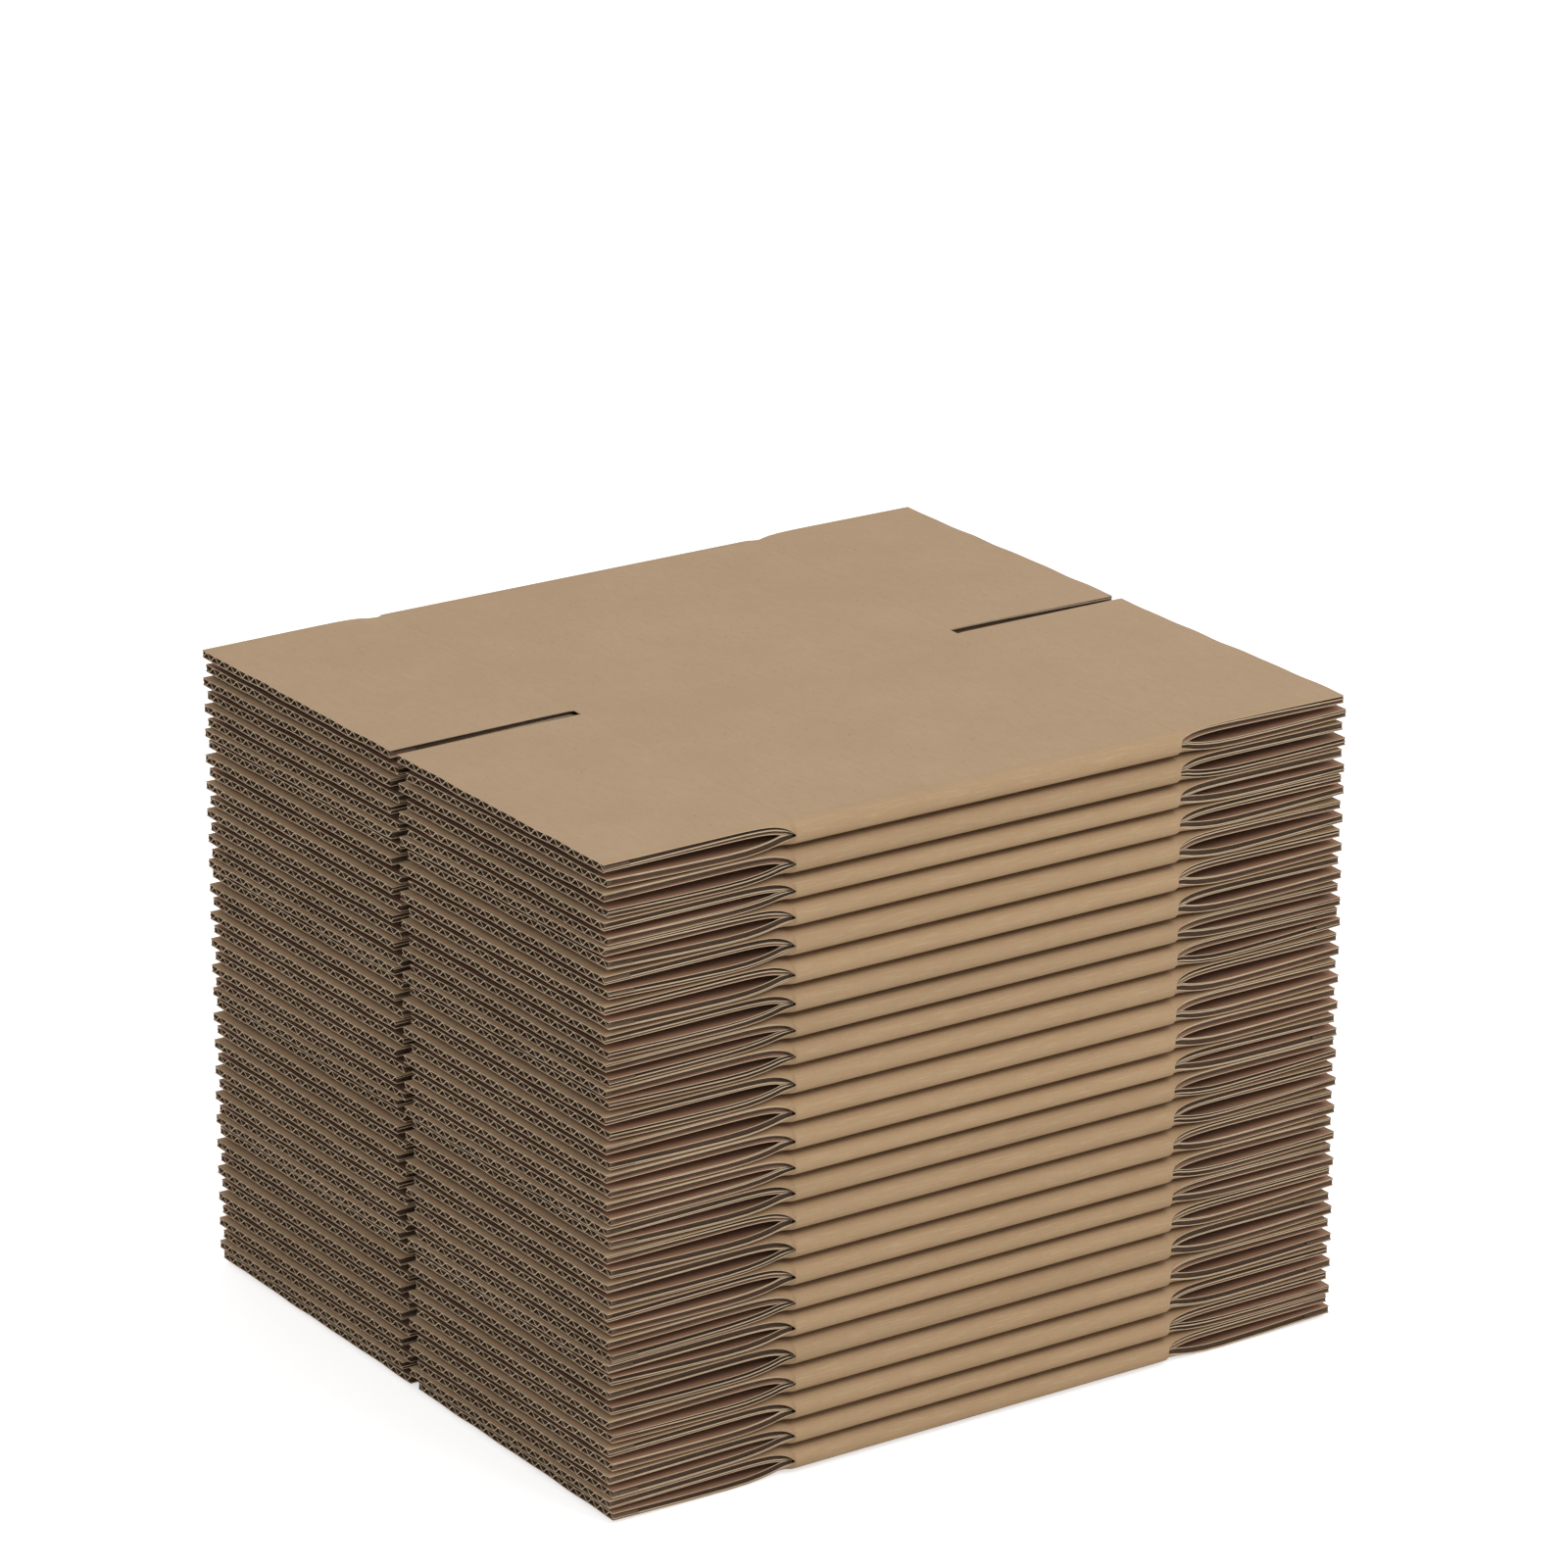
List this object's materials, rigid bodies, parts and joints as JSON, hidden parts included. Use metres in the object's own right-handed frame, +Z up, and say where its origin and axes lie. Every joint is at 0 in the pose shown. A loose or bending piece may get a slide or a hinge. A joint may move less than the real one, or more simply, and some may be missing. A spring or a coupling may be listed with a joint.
{
  "type": "stack of flattened cardboard boxes",
  "caption": "Neat stack of flattened corrugated shipping boxes: glued kraft tubes folded flat, with slotted flaps at both ends and rounded folds along two sides.",
  "frame": {"origin": "middle of the stack's footprint, on the surface that it stands on", "axes": "+Z up; X along the flutes, from flaps to flaps; Y across the flutes, from fold to fold"},
  "size_m": [0.3536, 0.311, 0.2731],
  "materials": {
    "kraft_board": "matte brown kraft liner over corrugated medium"
  },
  "bodies": {
    "root": {"flat_box_01": "kraft_board", "flat_box_02": "kraft_board", "flat_box_03": "kraft_board", "flat_box_04": "kraft_board", "flat_box_05": "kraft_board", "flat_box_06": "kraft_board", "flat_box_07": "kraft_board", "flat_box_08": "kraft_board", "flat_box_09": "kraft_board", "flat_box_10": "kraft_board", "flat_box_11": "kraft_board", "flat_box_12": "kraft_board", "flat_box_13": "kraft_board", "flat_box_14": "kraft_board", "flat_box_15": "kraft_board", "flat_box_16": "kraft_board", "flat_box_17": "kraft_board", "flat_box_18": "kraft_board", "flat_box_19": "kraft_board", "flat_box_20": "kraft_board", "flat_box_21": "kraft_board", "flat_box_22": "kraft_board", "flat_box_23": "kraft_board", "flat_box_24": "kraft_board"}
  },
  "joints": []
}
